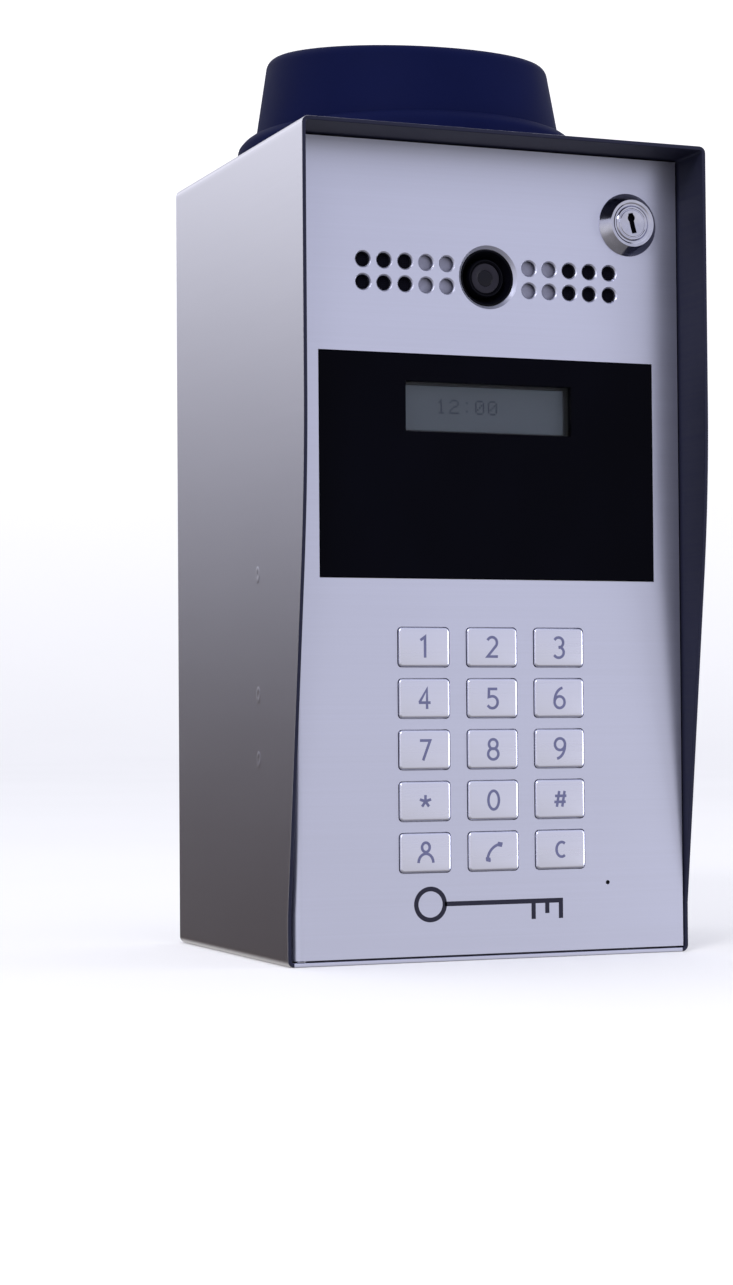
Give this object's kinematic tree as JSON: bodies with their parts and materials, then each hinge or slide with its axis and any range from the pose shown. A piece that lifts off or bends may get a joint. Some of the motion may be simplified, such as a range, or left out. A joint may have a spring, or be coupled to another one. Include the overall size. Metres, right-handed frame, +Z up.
{
  "type": "keypad access reader",
  "caption": "Hooded steel entry station with a hinged front door carrying a display window, camera, speaker grille, metal keys and a lock, and a dome antenna on its roof.",
  "frame": {"origin": "centre of the footprint at the underside", "axes": "+Z up, -Y out of the front door, +X to the right seen from the front"},
  "size_m": [0.16, 0.146, 0.3452],
  "materials": {
    "housing_steel": "satin",
    "door_steel": "satin",
    "key_steel": "satin",
    "hardware_steel": "zinc plated",
    "chrome": "polished",
    "rubber": "matt",
    "circuit_board": "solder mask",
    "brass": "machined",
    "terminal_green": "moulded",
    "black_plastic": "moulded",
    "speaker_mesh": "fine woven mesh",
    "white_plastic": "moulded",
    "magnet": "nickel plated",
    "antenna_plastic": "gloss",
    "window_black": "gloss",
    "lcd": "satin",
    "lens_glass": "coated"
  },
  "bodies": {
    "housing": {"housing_shell": "housing_steel", "back_plate": "housing_steel", "back_plate_screws": "hardware_steel", "door_frame": "housing_steel", "door_gasket": "rubber", "hinge_pins": "hardware_steel", "main_board": "circuit_board", "board_standoffs": "brass", "board_screws": "hardware_steel", "terminal_blocks": "terminal_green", "cellular_module": "hardware_steel", "board_components": "black_plastic", "antenna_base": "antenna_plastic", "antenna_radome": "antenna_plastic", "antenna_nut": "hardware_steel", "antenna_lead": "rubber", "cable_grommet": "rubber", "reed_switch": "white_plastic"},
    "door": {"door_panel": "door_steel", "door_studs": "hardware_steel", "door_nuts": "hardware_steel", "display_window": "window_black", "window_retainer": "housing_steel", "lcd_bezel": "black_plastic", "lcd_glass": "lcd", "lcd_board": "circuit_board", "reader_antenna_board": "circuit_board", "camera_shroud": "black_plastic", "camera_lens": "lens_glass", "camera_barrel": "black_plastic", "camera_board": "circuit_board", "camera_bracket": "housing_steel", "speaker_mesh": "speaker_mesh", "speaker": "black_plastic", "microphone": "hardware_steel", "microphone_boot": "rubber", "keypad_guide": "black_plastic", "keypad_mat": "rubber", "keypad_board": "circuit_board", "lock_body": "chrome", "lock_nut": "hardware_steel", "door_magnet": "magnet"},
    "lock": {"lock_plug": "chrome", "lock_cam": "hardware_steel", "cam_screw": "hardware_steel"},
    "button_1": {"key_1": "key_steel"},
    "button_2": {"key_2": "key_steel"},
    "button_3": {"key_3": "key_steel"},
    "button_4": {"key_4": "key_steel"},
    "button_5": {"key_5": "key_steel"},
    "button_6": {"key_6": "key_steel"},
    "button_7": {"key_7": "key_steel"},
    "button_8": {"key_8": "key_steel"},
    "button_9": {"key_9": "key_steel"},
    "button_star": {"key_star": "key_steel"},
    "button_0": {"key_0": "key_steel"},
    "button_hash": {"key_hash": "key_steel"},
    "button_visitor": {"key_visitor": "key_steel"},
    "button_call": {"key_call": "key_steel"},
    "button_clear": {"key_clear": "key_steel"}
  },
  "joints": [
    {"name": "door_swing", "type": "hinge", "parent": "housing", "child": "door", "pos_m": [-0.074, -0.049, 0.15], "axis": [0, 0, -1], "range_deg": [0, 90]},
    {"name": "lock_turn", "type": "hinge", "parent": "door", "child": "lock", "pos_m": [0.0573, -0.053, 0.2727], "axis": [0, -1, 0], "range_deg": [0, 90]},
    {"name": "press_1", "type": "slide", "parent": "door", "child": "button_1", "axis": [0, 1, 0], "range_m": [0, 0.0012], "stiffness_N_per_m": 800, "springref_m": -0.0006},
    {"name": "press_2", "type": "slide", "parent": "door", "child": "button_2", "axis": [0, 1, 0], "range_m": [0, 0.0012], "stiffness_N_per_m": 800, "springref_m": -0.0006},
    {"name": "press_3", "type": "slide", "parent": "door", "child": "button_3", "axis": [0, 1, 0], "range_m": [0, 0.0012], "stiffness_N_per_m": 800, "springref_m": -0.0006},
    {"name": "press_4", "type": "slide", "parent": "door", "child": "button_4", "axis": [0, 1, 0], "range_m": [0, 0.0012], "stiffness_N_per_m": 800, "springref_m": -0.0006},
    {"name": "press_5", "type": "slide", "parent": "door", "child": "button_5", "axis": [0, 1, 0], "range_m": [0, 0.0012], "stiffness_N_per_m": 800, "springref_m": -0.0006},
    {"name": "press_6", "type": "slide", "parent": "door", "child": "button_6", "axis": [0, 1, 0], "range_m": [0, 0.0012], "stiffness_N_per_m": 800, "springref_m": -0.0006},
    {"name": "press_7", "type": "slide", "parent": "door", "child": "button_7", "axis": [0, 1, 0], "range_m": [0, 0.0012], "stiffness_N_per_m": 800, "springref_m": -0.0006},
    {"name": "press_8", "type": "slide", "parent": "door", "child": "button_8", "axis": [0, 1, 0], "range_m": [0, 0.0012], "stiffness_N_per_m": 800, "springref_m": -0.0006},
    {"name": "press_9", "type": "slide", "parent": "door", "child": "button_9", "axis": [0, 1, 0], "range_m": [0, 0.0012], "stiffness_N_per_m": 800, "springref_m": -0.0006},
    {"name": "press_star", "type": "slide", "parent": "door", "child": "button_star", "axis": [0, 1, 0], "range_m": [0, 0.0012], "stiffness_N_per_m": 800, "springref_m": -0.0006},
    {"name": "press_0", "type": "slide", "parent": "door", "child": "button_0", "axis": [0, 1, 0], "range_m": [0, 0.0012], "stiffness_N_per_m": 800, "springref_m": -0.0006},
    {"name": "press_hash", "type": "slide", "parent": "door", "child": "button_hash", "axis": [0, 1, 0], "range_m": [0, 0.0012], "stiffness_N_per_m": 800, "springref_m": -0.0006},
    {"name": "press_visitor", "type": "slide", "parent": "door", "child": "button_visitor", "axis": [0, 1, 0], "range_m": [0, 0.0012], "stiffness_N_per_m": 800, "springref_m": -0.0006},
    {"name": "press_call", "type": "slide", "parent": "door", "child": "button_call", "axis": [0, 1, 0], "range_m": [0, 0.0012], "stiffness_N_per_m": 800, "springref_m": -0.0006},
    {"name": "press_clear", "type": "slide", "parent": "door", "child": "button_clear", "axis": [0, 1, 0], "range_m": [0, 0.0012], "stiffness_N_per_m": 800, "springref_m": -0.0006}
  ]
}
